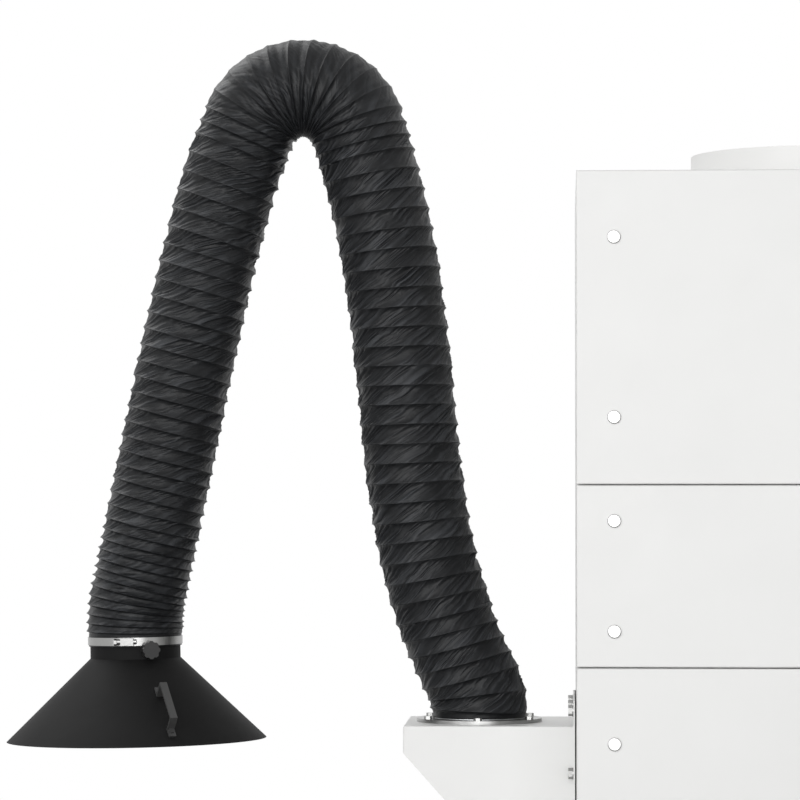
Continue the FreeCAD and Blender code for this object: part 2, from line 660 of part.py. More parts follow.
def inlet():
    x_far = -X_SIDE - BOX_REACH
    x_flange = -X_SIDE - 2 * SHEET
    low = box_low()

    def profile(t):
        """Box outline moved in by the sheet thickness t."""
        lean = t * (math.sqrt(1 + BOX_SLOPE ** 2) - BOX_SLOPE)
        drop = t * math.sqrt(1 + BOX_SLOPE ** 2)
        end = x_flange + (1 if t else 0)
        rise = BOX_SLOPE * (end - x_far)
        corner = BOX_TOP - BOX_FACE
        points = [(x_far + t, BOX_TOP - t), (end, BOX_TOP - t), (end, corner - rise + drop)]
        return points + [(x_far + t, corner + lean)]

    outer = prism_xz(profile(0), -BOX_HALF, BOX_HALF)
    soft = [e for e in outer.Edges if e.BoundBox.XMax < x_flange - 1]
    soft += [e for e in outer.Edges if e.BoundBox.XLength > 100 and e.BoundBox.ZLength < 0.01]
    outer = outer.makeFillet(2.4, soft)
    hollow = prism_xz(profile(SHEET), -BOX_HALF + SHEET, BOX_HALF - SHEET)
    y = BOX_HALF + BOX_FLANGE_SIDE
    z0 = low - BOX_FLANGE
    z1 = BOX_TOP + BOX_FLANGE
    flange = block(x_flange, x_flange + SHEET, -y, y, z0, z1)
    way = BOX_HALF - SHEET
    window = block(x_flange - 0.5, -X_SIDE, -way, way, low + 2 * SHEET, BOX_TOP - SHEET)
    drills = inlet_drills(x_flange - 1, -X_SIDE + 1)
    top_hole = rod(SPIGOT_R + 2, SWIVEL - V(0, 0, 5), SWIVEL + V(0, 0, 5))
    screw_holes = [rod(2.6, p - V(0, 0, 5), p + V(0, 0, 5)) for p in ring_screw_points()]
    box = union([outer, flange]).cut(hollow).cut(window)
    save("inlet_box", cut_all(box, drills + [top_hole] + screw_holes))
    seal = block(x_flange + SHEET, -X_SIDE, -y, y, z0, z1)
    seal_way = block(x_flange, -X_SIDE + 1, -way, way, low + 2 * SHEET, BOX_TOP - SHEET)
    save("inlet_gasket", cut_all(seal, drills + [seal_way]))

    bolts = []
    for by, bz in inlet_bolt_points():
        base = V(x_flange, by, bz)
        washer = rod(8, base, base - V(1.5, 0, 0))
        head = hexagon(7.5, 5.5, base - V(1.5, 0, 0), V(-1, 0, 0))
        inner = V(-X_IN + SCREEN_T, by, bz)
        shank = rod(BOLT_R, base - V(2, 0, 0), inner + V(10, 0, 0))
        nut = hexagon(7.5, 6.5, inner, V(1, 0, 0))
        bolts.append(union([washer, head, shank, nut]))
    for p in ring_screw_points():
        top = p + V(0, 0, RING_T)
        head = hexagon(5.6, 4, top, V(0, 0, 1))
        shank = rod(2.5, p - V(0, 0, 10), top + V(0, 0, 1))
        nut = hexagon(5.6, 4, p - V(0, 0, SHEET), V(0, 0, -1))
        bolts.append(union([head, shank, nut]))
    save("inlet_fasteners", *bolts)


def ring_screw_points():
    r = RING_R - 6.5
    angles = [math.radians(30 + 60 * i) for i in range(6)]
    return [SWIVEL + V(r * math.cos(a), r * math.sin(a), 0) for a in angles]


def swivel():
    flange_r = RING_R - 13
    gap = SWIVEL_GAP
    lip = RING_T - 2.5
    seat = [(RING_R, 0), (RING_R, RING_T), (SPIGOT_R + gap + 0.2, RING_T), (SPIGOT_R + gap + 0.2, lip)]
    seat += [(flange_r + gap, lip), (flange_r + gap, 0)]
    ring = revolve(seat, SWIVEL)
    holes = [rod(2.6, p - V(0, 0, 1), p + V(0, 0, RING_T + 1)) for p in ring_screw_points()]
    save("swivel_base_ring", cut_all(ring, holes))

    r = SPIGOT_R
    top = RING_T + HOSE_STUB + 1.5
    tube = [(r, top), (r, lip - gap), (flange_r, lip - gap), (flange_r, gap), (r - SPIGOT_WALL, gap)]
    tube += [(r - SPIGOT_WALL, top)]
    save("swivel_spigot", revolve(tube, SWIVEL))

    bar_r = r - SPIGOT_WALL - 0.1
    low = SWIVEL.z + BRACKET_UP
    half = BRACKET_HALF
    bar = block(SWIVEL.x - half, SWIVEL.x + half, -r, r, low, low + BRACKET_T)
    bar = bar.common(rod(bar_r, SWIVEL, SWIVEL + V(0, 0, BRACKET_UP + 2 * BRACKET_T)))
    pieces = [bar]
    inner = LINK / 2
    for y0, y1 in ((-inner - PLATE, -inner), (inner, inner + PLATE)):
        lug = strap(SHOULDER, V(SHOULDER.x, 0, low + PLATE), EYE_OUT, half - 0.1, y0, y1)
        below = block(SWIVEL.x - 2 * half, SWIVEL.x + 2 * half, y0, y1, low - 2 * half, low)
        pieces.append(lug.cut(below))
    lugs = union(pieces)
    save("shoulder_bracket", lugs.cut(pivot_bore(SHOULDER)))


SHOULDER = SWIVEL + V(0, 0, SHOULDER_UP)


def pivot_bore(p):
    return rod(PIVOT_R + RUN_FIT, p - V(0, 40, 0), p + V(0, 40, 0))


def leaning(lean, up=1):
    """Direction that leans towards -X from upright (up=1) or from straight down (up=-1)."""
    a = math.radians(lean)
    return V(-math.sin(a), 0, up * math.cos(a))


def bezier(start, start_dir, end, end_dir, handles):
    curve = Part.BezierCurve()
    curve.setPoles([start, start + start_dir * handles[0], end - end_dir * handles[1], end])
    return curve.toShape()


def arc(start, heading, radius, turn, side):
    """Arc in the XZ plane from start; side is +1 to bend towards the left of the heading."""
    left = V(-heading.z, 0, heading.x) * side
    centre = start + left * radius

    def at(angle):
        a = math.radians(angle)
        return centre - left * (radius * math.cos(a)) + heading * (radius * math.sin(a))

    return Part.Arc(at(0), at(turn / 2), at(turn)).toShape(), centre, at(turn)


def hose_route():
    """Edges of the hose centreline, the elbow centre and the last point."""
    base = SWIVEL + V(0, 0, RING_T + 1)
    up = V(0, 0, 1)
    stub_end = base + up * HOSE_STUB
    edges = [Part.makeLine(base, stub_end)]
    bend, _, p1 = arc(stub_end, up, BASE_BEND, BASE_LEAN, 1)
    p2 = SWIVEL + V(-LOWER_REACH, 0, LOWER_RISE)
    edges += [bend, bezier(p1, leaning(BASE_LEAN), p2, leaning(LOWER_LEAN), LOWER_HANDLES)]
    bend, centre, p3 = arc(p2, leaning(LOWER_LEAN), ELBOW_BEND, 180 - LOWER_LEAN - OUTER_LEAN, 1)
    p4 = SWIVEL + V(-OUTER_REACH, 0, OUTER_RISE)
    down = leaning(OUTER_END_LEAN, -1)
    edges += [bend, bezier(p3, leaning(OUTER_LEAN, -1), p4, down, OUTER_HANDLES)]
    bend, _, p5 = arc(p4, down, WRIST_BEND, OUTER_END_LEAN + HOOD_LEAN, 1)
    end = p5 + leaning(-HOOD_LEAN, -1) * HOSE_ON_HOOD
    edges += [bend, Part.makeLine(p5, end)]
    return edges, centre, p5


ROUTE, ELBOW_CENTRE, COLLAR_TOP = hose_route()
ROUTE_LENGTHS = [e.Length for e in ROUTE]
ELBOW = ELBOW_CENTRE + V(0, 0, ELBOW_BEND - 2)
HOOD_UP = leaning(HOOD_LEAN)
HOOD_FOOT = COLLAR_TOP - HOOD_UP * COLLAR_H
WRIST = HOOD_FOOT + HOOD_UP * WRIST_UP


def route_at(s):
    """Point and heading at the length s along the hose."""
    for edge, length in zip(ROUTE, ROUTE_LENGTHS):
        if s <= length or edge is ROUTE[-1]:
            p = edge.getParameterByLength(max(0.0, min(s, length)))
            return edge.valueAt(p), edge.tangentAt(p)
        s -= length


def hoop(s, radius):
    """Circle round the hose route with a steady start on the Y axis."""
    centre, heading = route_at(s)
    wire = Part.Wire(Part.makeCircle(radius))
    wire.Placement = FreeCAD.Placement(centre, FreeCAD.Rotation(V(0, 1, 0), V(), heading, "ZXY"))
    return wire


def graded(count, ratio):
    """Fractions 0 to 1 in count steps whose size goes from 1 to ratio."""
    steps = [1 + (ratio - 1) * (i + 0.5) / count for i in range(count)]
    marks = [0.0]
    for step in steps:
        marks.append(marks[-1] + step / sum(steps))
    return marks


def hose_length(name, s0, s1, ratio, cuff_start=0.0, cuff_end=0.0):
    """Closed solid of one length of hose: ribbed outside, plain bore."""
    rings = []
    if cuff_start:
        rings.append((s0, CUFF_R))
    a = s0 + cuff_start
    b = s1 - cuff_end
    marks = [a + (b - a) * f for f in graded(RIB_COUNT[name], ratio)]
    shoulder = VALLEY_R + 0.75 * (PEAK_R - VALLEY_R)
    for low, high in zip(marks, marks[1:]):
        pitch = high - low
        start = CUFF_R if cuff_start and low == a else VALLEY_R
        rings += [(low, start), (low + 0.32 * pitch, shoulder), (low + 0.5 * pitch, PEAK_R)]
        rings.append((low + 0.68 * pitch, shoulder))
    rings.append((b, CUFF_R if cuff_end else VALLEY_R))
    if cuff_end:
        rings.append((s1, CUFF_R))
    outer = Part.makeLoft([hoop(s, r) for s, r in rings], False, True)
    bore = [s0] + [s for s in marks if s0 + 1 < s < s1 - 1] + [s1]
    inner = Part.makeLoft([hoop(s, BORE_R) for s in bore], False, True)
    ends = []
    for s, r in (rings[0], rings[-1]):
        ends.append(Part.makeFace([hoop(s, r), hoop(s, BORE_R)], "Part::FaceMakerBullseye"))
    skin = Part.Compound([outer, inner] + ends)
    skin.sewShape()
    solid = Part.Solid(skin.Shells[0])
    if solid.Volume < 0:
        solid.reverse()
    save("hose_" + name, solid)


def hose():
    total = sum(ROUTE_LENGTHS)
    bend_start = sum(ROUTE_LENGTHS[:3])
    bend_end = bend_start + ROUTE_LENGTHS[3]
    marks = [0, BASE_LEN, bend_start - ELBOW_EXTRA, bend_end + ELBOW_EXTRA, total - WRIST_LEN, total]
    hose_length("base", marks[0], marks[1], 1.0, cuff_start=HOSE_STUB)
    hose_length("lower", marks[1], marks[2], 1.0)
    hose_length("elbow", marks[2], marks[3], 1.0)
    hose_length("outer", marks[3], marks[4], 0.68)
    hose_length("wrist", marks[4], marks[5], 0.6, cuff_end=HOSE_ON_HOOD - 2)
    inside = (ELBOW_BEND - PEAK_R) * math.radians(180 - LOWER_LEAN - OUTER_LEAN) / RIB_COUNT["elbow"]
    print("hose length %.0f mm, least rib spacing inside the elbow %.1f mm" % (total, inside))


def links():
    inner = LINK / 2
    low_end = ELBOW_CENTRE + V(LINK_LOW_END, 0, -LINK_END_DROP)
    out_end = ELBOW_CENTRE + V(-LINK_OUT_END, 0, -LINK_END_DROP)
    along = low_end - SHOULDER
    along.normalize()
    tube = square_tube(SHOULDER + along * 34, low_end + along * 8)
    tongue = strap(SHOULDER, SHOULDER + along * 46, EYE_OUT - 1, inner - LINK_WALL - 0.1, -TONGUE, TONGUE)
    pieces = [tube, tongue, tongue_plug(SHOULDER + along * 34, along)]
    for y0, y1 in ((-inner - PLATE, -inner), (inner, inner + PLATE)):
        pieces.append(strap(low_end, ELBOW, 15, EYE_OUT, y0, y1))
    bores = [pivot_bore(SHOULDER), pivot_bore(ELBOW)]
    save("lower_link", cut_all(union(pieces), bores))

    along = WRIST - out_end
    along.normalize()
    fork_start = WRIST - along * 44
    tube = square_tube(out_end - along * 8, WRIST - along * 28)
    tongue = strap(out_end + along * 6, ELBOW, inner - LINK_WALL - 0.1, EYE_OUT - 1, -TONGUE, TONGUE)
    pieces = [tube, tongue, tongue_plug(out_end - along * 8, along)]
    for y0, y1 in ((-inner - PLATE, -inner), (inner, inner + PLATE)):
        pieces.append(strap(fork_start, WRIST, FORK_R, FORK_R, y0, y1))
    bores = [pivot_bore(ELBOW), rod(TRUNNION_R + RUN_FIT, WRIST - V(0, 40, 0), WRIST + V(0, 40, 0))]
    save("outer_link", cut_all(union(pieces), bores))

    discs = []
    bolts = []
    for p in (SHOULDER, ELBOW):
        for s in (-1, 1):
            a = p + V(0, s * (TONGUE + 0.25), 0)
            b = p + V(0, s * (inner - 0.25), 0)
            discs.append(pipe(DISC_R, PIVOT_R + RUN_FIT, a, b))
        end = inner + PLATE + 0.2
        shank = rod(PIVOT_R, p - V(0, end + 3, 0), p + V(0, end + 3, 0))
        heads = [hexagon(9.5, 6.5, p + V(0, s * end, 0), V(0, s, 0)) for s in (-1, 1)]
        bolts.append(union([shank] + heads))
    save("friction_discs", *discs)
    save("pivot_bolts", *bolts)


def tongue_plug(start, along):
    """Plate that closes the tube end and carries the tongue."""
    half = LINK / 2 - 0.5
    plug = block(-half, half, -half, half, 0, 6)
    return place(plug, FreeCAD.Placement(start, FreeCAD.Rotation(V(0, 0, 1), along)))


def hood_place(turn=0.0):
    """From the hood's own axes (Z up its axis, -Y to the front) to the machine."""
    tilt = FreeCAD.Rotation(V(0, 1, 0), -HOOD_LEAN)
    spin = FreeCAD.Rotation(V(0, 0, 1), turn)
    return FreeCAD.Placement(HOOD_FOOT, tilt.multiply(spin))


def hood():
    r = SPIGOT_R
    t = HOOD_WALL
    slope = (HOOD_R - r) / HOOD_FALL
    level = t * math.sqrt(1 + slope ** 2)
    cone = [(r, COLLAR_H), (r, 0), (HOOD_R, -HOOD_FALL), (HOOD_R - level, -HOOD_FALL)]
    cone += [(r - t, (t - level) / slope), (r - t, COLLAR_H)]
    shell = revolve(cone, V(0, 0, 0))
    drill = rod(SPINDLE_R + RUN_FIT, V(0, -r - 2, DAMPER_UP), V(0, r + 2, DAMPER_UP))
    screws = [rod(2.7, p - out * 6, p + out * 6) for p, out in map(handle_point, (0, 1))]
    save("hood", place(cut_all(shell, [drill] + screws), hood_place(FRONT_TURN)))

    leg_in = DAMPER_R + 2.5
    leg_out = r - t - 0.1
    top = WRIST_UP - 20
    knee = COLLAR_H - 2
    x = STIRRUP_TOP
    bar = block(-x, x, -10, 10, top - 4, top)
    legs = []
    for s in (-1, 1):
        outline = [(leg_in, DAMPER_UP - 6), (r, DAMPER_UP - 6), (r, knee), (leg_out, knee)]
        outline += [(x, top), (x - 5, top), (leg_in, knee)]
        legs.append(prism_xz([(s * px, pz) for px, pz in outline], -10, 10))
    room = rod(leg_out, V(0, 0, 0), V(0, 0, WRIST_UP))
    frame = union([bar] + legs).common(room)
    lugs = []
    for s in (-1, 1):
        x = sorted((s * (CROSS + 0.5), s * (CROSS + 4.5)))
        lug = [rod(LUG_R, V(x[0], 0, WRIST_UP), V(x[1], 0, WRIST_UP))]
        lug.append(block(x[0], x[1], -LUG_R, LUG_R, WRIST_UP - 22, WRIST_UP))
        lugs.append(union(lug))
    stirrup = union([frame] + lugs)
    bore = rod(TRUNNION_R + RUN_FIT, V(-30, 0, WRIST_UP), V(30, 0, WRIST_UP))
    save("hood_stirrup", place(stirrup.cut(bore), hood_place()))

    c = CROSS
    cross = [block(-c, c, -c, c, WRIST_UP - 10, WRIST_UP + 10)]
    cross.append(rod(TRUNNION_R, V(-c - 4.5, 0, WRIST_UP), V(c + 4.5, 0, WRIST_UP)))
    reach = LINK / 2 + PLATE
    cross.append(rod(TRUNNION_R, V(0, -reach, WRIST_UP), V(0, reach, WRIST_UP)))
    save("wrist_cross", place(union(cross), hood_place()))


def handle_point(end):
    """Foot of the hood handle on the cone (end 0 upper, 1 lower), with the outward direction."""
    slope = (HOOD_R - SPIGOT_R) / HOOD_FALL
    down = HANDLE_DOWN[end]
    radius = SPIGOT_R + slope * down
    out = V(0, -1, slope)
    out.normalize()
    return V(0, -radius, -down), out


def hood_fittings():
    p0, out = handle_point(0)
    p1, _ = handle_point(1)
    along = p1 - p0
    along.normalize()
    across = 5.0
    lift = 24.0

    def leaf(a, b, thick):
        """Flat strip between two points of the handle's plane."""
        d = b - a
        length = d.Length
        d.normalize()
        side = V(0, -d.z, d.y)
        edge = side * thick
        corner = [a + edge, a - edge, a - edge + d * length, a + edge + d * length]
        corner = [c + V(-across, 0, 0) for c in corner]
        return Part.Face(Part.makePolygon(corner + corner[:1])).extrude(V(2 * across, 0, 0))

    t = 1.5
    clear = t + 0.15
    foot0 = p0 + out * clear
    foot1 = p1 + out * clear
    up0 = p0 + out * lift
    up1 = p1 + out * lift
    tab = along * 9
    leg = along * (6 - t)
    bow = along * (6 - 2 * t)
    strips = [leaf(foot0 - tab, foot0 + along * 6, t), leaf(foot0 + leg, up0 + leg, t)]
    strips.append(leaf(up0 + bow, up1 - bow, t))
    strips += [leaf(foot1 - leg, up1 - leg, t), leaf(foot1 - along * 6, foot1 + tab, t)]
    grip = union(strips)
    screws = []
    for p in (p0, p1):
        screws.append(rod(2.5, p - out * 5, p + out * (2 * t + 1)))
        screws.append(rod(4.2, p + out * (2 * t), p + out * (2 * t + 2.2)))
    save("hood_handle", place(union([grip] + screws), hood_place(FRONT_TURN)))

    hose_foot = COLLAR_H - HOSE_ON_HOOD
    z0 = hose_foot + 2
    band_r = CUFF_R + 0.25
    band = pipe(band_r + 1.0, band_r, V(0, 0, z0), V(0, 0, z0 + CLAMP_W))
    housing = block(-9, 9, -band_r - 8, -band_r - 0.6, z0 + 0.5, z0 + CLAMP_W - 0.5)
    screw = rod(3.4, V(-15, -band_r - 4.4, z0 + CLAMP_W / 2), V(13, -band_r - 4.4, z0 + CLAMP_W / 2))
    head = hexagon(5, 4, V(-14, -band_r - 4.4, z0 + CLAMP_W / 2), V(-1, 0, 0))
    save("hood_clamp", place(union([band, housing, screw, head]), hood_place(FRONT_TURN - 26)))

    r = SPIGOT_R
    spindle = rod(SPINDLE_R, V(0, -r - 12, DAMPER_UP), V(0, r + 3, DAMPER_UP))
    knob = rod(KNOB_R, V(0, -r - 15, DAMPER_UP), V(0, -r - 4, DAMPER_UP))
    notches = []
    for i in range(8):
        a = math.radians(22.5 + 45 * i)
        c = V((KNOB_R + 2) * math.cos(a), 0, (KNOB_R + 2) * math.sin(a) + DAMPER_UP)
        notches.append(rod(3.6, c + V(0, -r - 16, 0), c + V(0, -r - 3, 0)))
    knob = cut_all(knob, notches)
    ring_clip = rod(SPINDLE_R + 0.6, V(0, r + 0.8, DAMPER_UP), V(0, r + 3, DAMPER_UP))
    flat_y = DAMPER_R + 0.5
    flat = block(0, SPINDLE_R + 1, -flat_y, flat_y, DAMPER_UP - 12, DAMPER_UP + 12)
    save("damper_spindle", place(union([spindle.cut(flat), knob, ring_clip]), hood_place(FRONT_TURN)))
    flap = rod(DAMPER_R, V(0, 0, DAMPER_UP), V(1.6, 0, DAMPER_UP))
    save("damper_flap", place(flap, hood_place(FRONT_TURN)))


base_frame()
side_panels()
shell_panels()
filters()
fan()
doors()
drawer()
controls()
inlet()
swivel()
links()
hose()
hood()
hood_fittings()
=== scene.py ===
import json
import math

import bpy
import numpy as np
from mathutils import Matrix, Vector


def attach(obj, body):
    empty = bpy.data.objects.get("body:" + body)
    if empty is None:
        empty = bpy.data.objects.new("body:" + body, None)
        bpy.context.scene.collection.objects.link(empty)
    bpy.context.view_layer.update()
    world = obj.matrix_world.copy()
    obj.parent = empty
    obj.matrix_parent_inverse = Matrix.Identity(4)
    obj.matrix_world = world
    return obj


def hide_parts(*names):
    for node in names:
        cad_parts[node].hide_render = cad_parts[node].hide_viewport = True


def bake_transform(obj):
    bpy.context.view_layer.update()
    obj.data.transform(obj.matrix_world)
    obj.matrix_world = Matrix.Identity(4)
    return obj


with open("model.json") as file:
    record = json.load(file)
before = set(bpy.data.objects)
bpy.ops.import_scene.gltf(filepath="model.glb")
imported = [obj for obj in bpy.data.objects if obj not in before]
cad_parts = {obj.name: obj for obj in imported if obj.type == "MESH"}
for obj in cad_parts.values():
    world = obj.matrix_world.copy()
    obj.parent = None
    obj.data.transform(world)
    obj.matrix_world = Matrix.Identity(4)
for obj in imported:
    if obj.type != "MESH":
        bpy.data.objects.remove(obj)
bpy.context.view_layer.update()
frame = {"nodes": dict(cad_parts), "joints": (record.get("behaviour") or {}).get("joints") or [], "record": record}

# Looks of the welding fume extractor. Metres, in the frame of the CAD model.
MM = 0.001

# Camera, fitted to the edges of the cabinet, the locks, the hood and the inlet box
CAM_AT = (-0.3480, -4.944, 0.927)
CAM_AIM = (-0.04665, 1.0, 0.02719)
CAM_LENS = 160.5
SENSOR = 36.0
CAM_CLIP = (0.05, 100.0)


def make_camera():
    data = bpy.data.cameras.new("camera")
    data.lens = CAM_LENS
    data.sensor_width = SENSOR
    data.clip_start, data.clip_end = CAM_CLIP
    cam = bpy.data.objects.new("camera", data)
    cam.location = CAM_AT
    cam.rotation_mode = "QUATERNION"
    cam.rotation_quaternion = Vector(CAM_AIM).to_track_quat("-Z", "Y")
    bpy.context.scene.collection.objects.link(cam)
    bpy.context.scene.camera = cam


# Sockets of the Mix node that carry colours
MIX_FACTOR, MIX_A, MIX_B, MIX_RESULT = 0, 6, 7, 2


class Nodes:
    """Shorthand for building one material's node tree."""

    def __init__(self, name):
        self.mat = bpy.data.materials.new(name)
        self.mat.use_nodes = True
        self.tree = self.mat.node_tree
        self.tree.nodes.clear()
        self.out = self.add("ShaderNodeOutputMaterial")
        self.bsdf = self.add("ShaderNodeBsdfPrincipled")
        self.link(self.bsdf.outputs[0], self.out.inputs["Surface"])
        self.coord = self.add("ShaderNodeTexCoord").outputs["Object"]

    def add(self, kind, **inputs):
        node = self.tree.nodes.new(kind)
        for key, value in inputs.items():
            node.inputs[key].default_value = value
        return node

    def link(self, a, b):
        self.tree.links.new(a, b)

    def set(self, **values):
        for key, value in values.items():
            self.bsdf.inputs[key.replace("_", " ")].default_value = value

    def noise(self, scale, detail=3.0, rough=0.5, vector=None):
        node = self.add("ShaderNodeTexNoise", Scale=scale, Detail=detail, Roughness=rough)
        self.link(vector or self.coord, node.inputs["Vector"])
        return node.outputs[0]

    def stretched(self, scale):
        node = self.add("ShaderNodeMapping")
        node.inputs["Scale"].default_value = scale
        self.link(self.coord, node.inputs["Vector"])
        return node.outputs[0]

    def ramp(self, fac, stops):
        node = self.add("ShaderNodeValToRGB")
        for element, (at, value) in zip(node.color_ramp.elements, stops):
            element.position = at
            element.color = (value, value, value, 1.0)
        self.link(fac, node.inputs[0])
        return node.outputs[0]

    def scaled(self, value, low, high):
        node = self.add("ShaderNodeMapRange")
        node.inputs["To Min"].default_value = low
        node.inputs["To Max"].default_value = high
        self.link(value, node.inputs["Value"])
        return node.outputs[0]

    def mix(self, fac, a, b):
        node = self.add("ShaderNodeMix")
        node.data_type = "RGBA"
        for value, socket in ((a, node.inputs[MIX_A]), (b, node.inputs[MIX_B])):
            if isinstance(value, tuple):
                socket.default_value = (*value, 1.0)
            else:
                self.link(value, socket)
        self.link(fac, node.inputs[MIX_FACTOR])
        return node.outputs[MIX_RESULT]

    def math(self, kind, a, b):
        node = self.add("ShaderNodeMath")
        node.operation = kind
        for value, socket in ((a, node.inputs[0]), (b, node.inputs[1])):
            if isinstance(value, float):
                socket.default_value = value
            else:
                self.link(value, socket)
        return node.outputs[0]

    def bump(self, height, strength, distance, normal=None):
        node = self.add("ShaderNodeBump", Strength=strength, Distance=distance)
        self.link(height, node.inputs["Height"])
        if normal is not None:
            self.link(normal, node.inputs["Normal"])
        return node.outputs[0]

    def colour(self, socket):
        self.link(socket, self.bsdf.inputs["Base Color"])

    def roughness(self, socket):
        self.link(socket, self.bsdf.inputs["Roughness"])

    def normal(self, socket):
        self.link(socket, self.bsdf.inputs["Normal"])


def powder_coat(name, colour, rough, peel=0.10):
    """Powder coat: orange peel, faint clouding and a little dust."""
    n = Nodes(name)
    cloud = n.noise(3.0, 4.0)
    dark = tuple(c * 0.965 for c in colour)
    light = tuple(min(1.0, c * 1.02) for c in colour)
    base = n.mix(n.scaled(cloud, 0.0, 1.0), dark, light)
    specks = n.ramp(n.noise(900.0, 2.0), [(0.70, 0.0), (0.80, 1.0)])
    n.colour(n.mix(n.math("MULTIPLY", specks, 0.10), base, tuple(c * 0.8 for c in colour)))
    n.roughness(n.scaled(n.noise(14.0, 3.0), rough - 0.05, rough + 0.07))
    n.normal(n.bump(n.noise(420.0, 2.0), peel, 0.0004))
    n.set(IOR=1.5)
    return n.mat


def plated(name, colour, rough, grain=(60.0, 60.0, 900.0)):
    """Plated or brushed metal with drawn grain and slight stains."""
    n = Nodes(name)
    lines = n.noise(1.0, 3.0, 0.6, n.stretched(grain))
    stain = n.noise(26.0, 4.0)
    dark = tuple(c * 0.80 for c in colour)
    n.colour(n.mix(n.scaled(stain, 0.0, 1.0), dark, colour))
    n.roughness(n.math("ADD", n.scaled(lines, rough - 0.06, rough + 0.10), n.scaled(stain, -0.04, 0.05)))
    n.normal(n.bump(lines, 0.12, 0.0002))
    n.set(Metallic=1.0)
    return n.mat


def galvanised(name, colour, rough):
    """Zinc sheet with crystal spangle."""
    n = Nodes(name)
    cells = n.add("ShaderNodeTexVoronoi", Scale=70.0)
    n.link(n.coord, cells.inputs["Vector"])
    grey = n.add("ShaderNodeRGBToBW")
    n.link(cells.outputs["Color"], grey.inputs[0])
    tone = n.math("ADD", n.scaled(grey.outputs[0], 0.0, 0.7), n.scaled(n.noise(120.0), 0.0, 0.3))
    n.colour(n.mix(tone, tuple(c * 0.78 for c in colour), colour))
    n.roughness(n.scaled(tone, rough + 0.10, rough - 0.06))
    n.normal(n.bump(tone, 0.06, 0.0002))
    n.set(Metallic=1.0)
    return n.mat


def plastic(name, colour, rough, grain=0.15):
    """Moulded plastic with a fine eroded texture."""
    n = Nodes(name)
    n.colour(n.mix(n.scaled(n.noise(40.0, 4.0), 0.0, 1.0), tuple(c * 0.86 for c in colour), colour))
    n.roughness(n.scaled(n.noise(90.0, 3.0), rough - 0.06, rough + 0.06))
    n.normal(n.bump(n.noise(1500.0, 2.0), grain, 0.0003))
    return n.mat


def satin_black(name):
    """Stoved black lacquer of the hood, with a fine grain and light rub marks."""
    n = Nodes(name)
    cloud = n.noise(5.0, 4.0)
    rubs = n.ramp(n.noise(1.0, 4.0, 0.6, n.stretched((30.0, 30.0, 8.0))), [(0.55, 0.0), (0.8, 1.0)])
    base = n.mix(n.scaled(cloud, 0.0, 1.0), (0.0028, 0.0028, 0.0029), (0.0044, 0.0044, 0.0045))
    n.colour(n.mix(n.math("MULTIPLY", rubs, 0.35), base, (0.008, 0.008, 0.0084)))
    n.roughness(n.scaled(n.noise(18.0, 4.0), 0.62, 0.72))
    n.normal(n.bump(n.noise(700.0, 2.0), 0.10, 0.0003))
    n.set(Specular_IOR_Level=0.16)
    return n.mat


def rubber(name):
    """Closed-cell foam rubber."""
    n = Nodes(name)
    n.colour(n.mix(n.scaled(n.noise(60.0), 0.0, 1.0), (0.012, 0.012, 0.012), (0.03, 0.03, 0.03)))
    n.normal(n.bump(n.noise(1200.0, 3.0), 0.5, 0.0004))
    n.set(Roughness=0.85)
    return n.mat


def filter_medium(name):
    """Filter fleece: off-white with fibres and grey dust in the folds."""
    n = Nodes(name)
    fibre = n.noise(1.0, 5.0, 0.7, n.stretched((900.0, 300.0, 900.0)))
    dust = n.noise(9.0, 5.0)
    n.colour(n.mix(n.scaled(dust, 0.0, 0.6), (0.78, 0.77, 0.72), (0.50, 0.49, 0.46)))
    n.normal(n.bump(fibre, 0.5, 0.0006))
    n.set(Roughness=0.92)
    return n.mat


def hose_cloth(name):
    """Coated black cloth: faint weave, painted sheen and painted light on the folds, and a soft specular sheen."""
    n = Nodes(name)
    wave = n.noise(38.0, 5.0, 0.6)
    blotch = n.noise(9.0, 4.0)
    base = n.mix(n.scaled(blotch, 0.0, 1.0), (0.0045, 0.0048, 0.0054), (0.0080, 0.0085, 0.0094))
    # Painted sheen and painted light: a per-vertex attribute lightens the cloth on the fold crests and where it
    # faces up, standing in for light on the folds
    painted_sheen = n.add("ShaderNodeAttribute")
    painted_sheen.attribute_name = "painted_sheen"
    sheen_mix = n.math("MULTIPLY", n.scaled(wave, 0.35, 1.25), painted_sheen.outputs["Fac"])
    # The lighter colour here is the painted sheen, not a colour of the cloth
    n.colour(n.mix(sheen_mix, base, (0.052, 0.055, 0.060)))
    n.roughness(n.scaled(n.noise(60.0, 4.0), 0.30, 0.50))
    weave = n.noise(2200.0, 2.0)
    crumple = n.noise(1.0, 6.0, 0.62, n.stretched((150.0, 150.0, 150.0)))
    n.normal(n.bump(weave, 0.10, 0.0002, n.bump(crumple, 0.35, 0.0014)))
    n.set(Specular_IOR_Level=0.20)
    return n.mat


